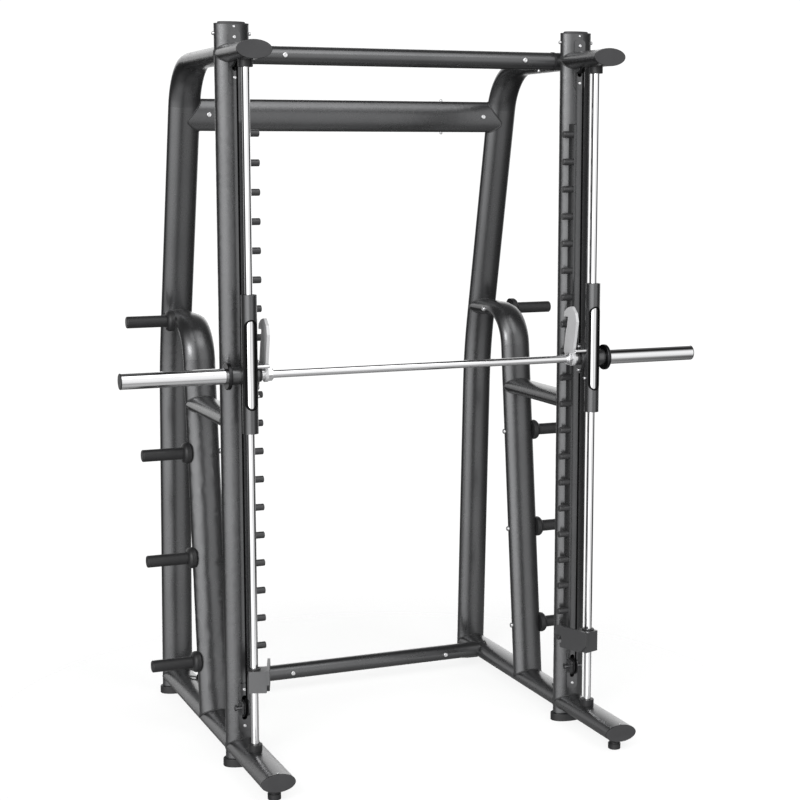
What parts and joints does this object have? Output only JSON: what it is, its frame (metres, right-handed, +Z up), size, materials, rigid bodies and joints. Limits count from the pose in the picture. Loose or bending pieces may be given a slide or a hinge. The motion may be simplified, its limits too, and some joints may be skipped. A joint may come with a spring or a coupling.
{
  "type": "smith machine",
  "caption": "Smith machine with a counterbalanced bar on guide rods, hook pegs on the uprights, adjustable safety stops and plate storage horns.",
  "frame": {"origin": "on the floor, under the middle of the whole machine's box", "axes": "+Z up, -Y towards the front where the lifter stands and the bar runs, +X towards the machine's right end as seen from the front"},
  "size_m": [2.007, 1.254, 2.3875],
  "materials": {
    "frame_paint": "metallic grey powder coat",
    "cap_plastic": "moulded",
    "black_plastic": "moulded",
    "chrome": "polished",
    "zinc_steel": "bright zinc",
    "hook_steel": "satin",
    "stop_paint": "grey powder coat",
    "black_steel": "black oxide",
    "cast_iron": "black painted",
    "cable_sheath": "black coated wire rope"
  },
  "bodies": {
    "frame": {"left_upright": "frame_paint", "right_upright": "frame_paint", "upright_caps": "cap_plastic", "left_front_rail": "frame_paint", "right_front_rail": "frame_paint", "left_rear_rail": "frame_paint", "right_rear_rail": "frame_paint", "rail_end_caps": "cap_plastic", "left_rear_post": "frame_paint", "right_rear_post": "frame_paint", "left_storage_post": "frame_paint", "right_storage_post": "frame_paint", "side_braces": "frame_paint", "top_arms": "frame_paint", "arm_end_caps": "cap_plastic", "top_crossbar": "frame_paint", "upper_rear_crossbar": "frame_paint", "lower_rear_crossbar": "frame_paint", "crossbar_collars": "black_plastic", "guide_rods": "chrome", "rod_collars": "black_plastic", "peg_plates": "frame_paint", "left_hook_pegs": "zinc_steel", "right_hook_pegs": "zinc_steel", "weight_horns": "black_plastic", "horn_bases": "black_plastic", "foot_cups": "black_plastic", "levelling_pads": "black_plastic", "levelling_studs": "zinc_steel", "pulley_brackets": "frame_paint", "pulley_axles": "zinc_steel", "counterweight_cables": "cable_sheath", "frame_bolts": "zinc_steel"},
    "carriage": {"left_carriage": "frame_paint", "right_carriage": "frame_paint", "bar_bearing_housings": "frame_paint", "bar_bearings": "black_steel", "carriage_liners": "chrome", "cable_clamps": "black_steel", "turn_stop_pins": "chrome", "carriage_bolts": "zinc_steel"},
    "bar": {"bar_shaft": "chrome", "weight_sleeves": "chrome", "sleeve_flanges": "black_steel", "bar_hooks": "hook_steel", "bar_collars": "zinc_steel", "bar_nuts": "zinc_steel", "sleeve_end_plugs": "black_plastic"},
    "left_weight": {"left_counterweight": "cast_iron"},
    "left_top_wheel": {"left_top_pulley": "black_plastic"},
    "left_bottom_wheel": {"left_bottom_pulley": "black_plastic"},
    "left_stop_slider": {"left_stop_buffer": "black_plastic"},
    "left_stop": {"left_stop_block": "stop_paint", "left_stop_hook": "stop_paint"},
    "right_weight": {"right_counterweight": "cast_iron"},
    "right_top_wheel": {"right_top_pulley": "black_plastic"},
    "right_bottom_wheel": {"right_bottom_pulley": "black_plastic"},
    "right_stop_slider": {"right_stop_buffer": "black_plastic"},
    "right_stop": {"right_stop_block": "stop_paint", "right_stop_hook": "stop_paint"}
  },
  "joints": [
    {"name": "bar_slide", "type": "slide", "parent": "frame", "child": "carriage", "axis": [0, 0, 1], "range_m": [-0.728, 0.637]},
    {"name": "bar_turn", "type": "hinge", "parent": "carriage", "child": "bar", "pos_m": [0, -0.3575, 1.2994], "axis": [-1, 0, 0], "range_deg": [-10, 12]},
    {"name": "left_counterweight_slide", "type": "slide", "parent": "frame", "child": "left_weight", "axis": [0, 0, 1], "range_m": [-0.638, 0.729]},
    {"name": "left_top_pulley_spin", "type": "hinge", "parent": "frame", "child": "left_top_wheel", "pos_m": [-0.6, -0.276, 2.2775], "axis": [1, 0, 0], "range_deg": [-1530, 1745]},
    {"name": "left_bottom_pulley_spin", "type": "hinge", "parent": "frame", "child": "left_bottom_wheel", "pos_m": [-0.6, -0.276, 0.2], "axis": [1, 0, 0], "range_deg": [-1530, 1745]},
    {"name": "left_stop_slide", "type": "slide", "parent": "frame", "child": "left_stop_slider", "axis": [0, 0, 1], "range_m": [0, 0.728]},
    {"name": "left_stop_swing", "type": "hinge", "parent": "left_stop_slider", "child": "left_stop", "pos_m": [-0.6, -0.387, 0.325], "axis": [0, 0, -1], "range_deg": [-19, 20]},
    {"name": "right_counterweight_slide", "type": "slide", "parent": "frame", "child": "right_weight", "axis": [0, 0, 1], "range_m": [-0.638, 0.729]},
    {"name": "right_top_pulley_spin", "type": "hinge", "parent": "frame", "child": "right_top_wheel", "pos_m": [0.6, -0.276, 2.2775], "axis": [1, 0, 0], "range_deg": [-1530, 1745]},
    {"name": "right_bottom_pulley_spin", "type": "hinge", "parent": "frame", "child": "right_bottom_wheel", "pos_m": [0.6, -0.276, 0.2], "axis": [1, 0, 0], "range_deg": [-1530, 1745]},
    {"name": "right_stop_slide", "type": "slide", "parent": "frame", "child": "right_stop_slider", "axis": [0, 0, 1], "range_m": [0, 0.728]},
    {"name": "right_stop_swing", "type": "hinge", "parent": "right_stop_slider", "child": "right_stop", "pos_m": [0.6, -0.387, 0.325], "axis": [0, 0, 1], "range_deg": [-19, 20]}
  ],
  "couplings": [
    {"joint": "left_counterweight_slide", "follows": "bar_slide", "ratio": -1},
    {"joint": "left_top_pulley_spin", "follows": "bar_slide", "rad_per_m": -41.667},
    {"joint": "left_bottom_pulley_spin", "follows": "bar_slide", "rad_per_m": -41.667},
    {"joint": "right_counterweight_slide", "follows": "bar_slide", "ratio": -1},
    {"joint": "right_top_pulley_spin", "follows": "bar_slide", "rad_per_m": -41.667},
    {"joint": "right_bottom_pulley_spin", "follows": "bar_slide", "rad_per_m": -41.667}
  ]
}
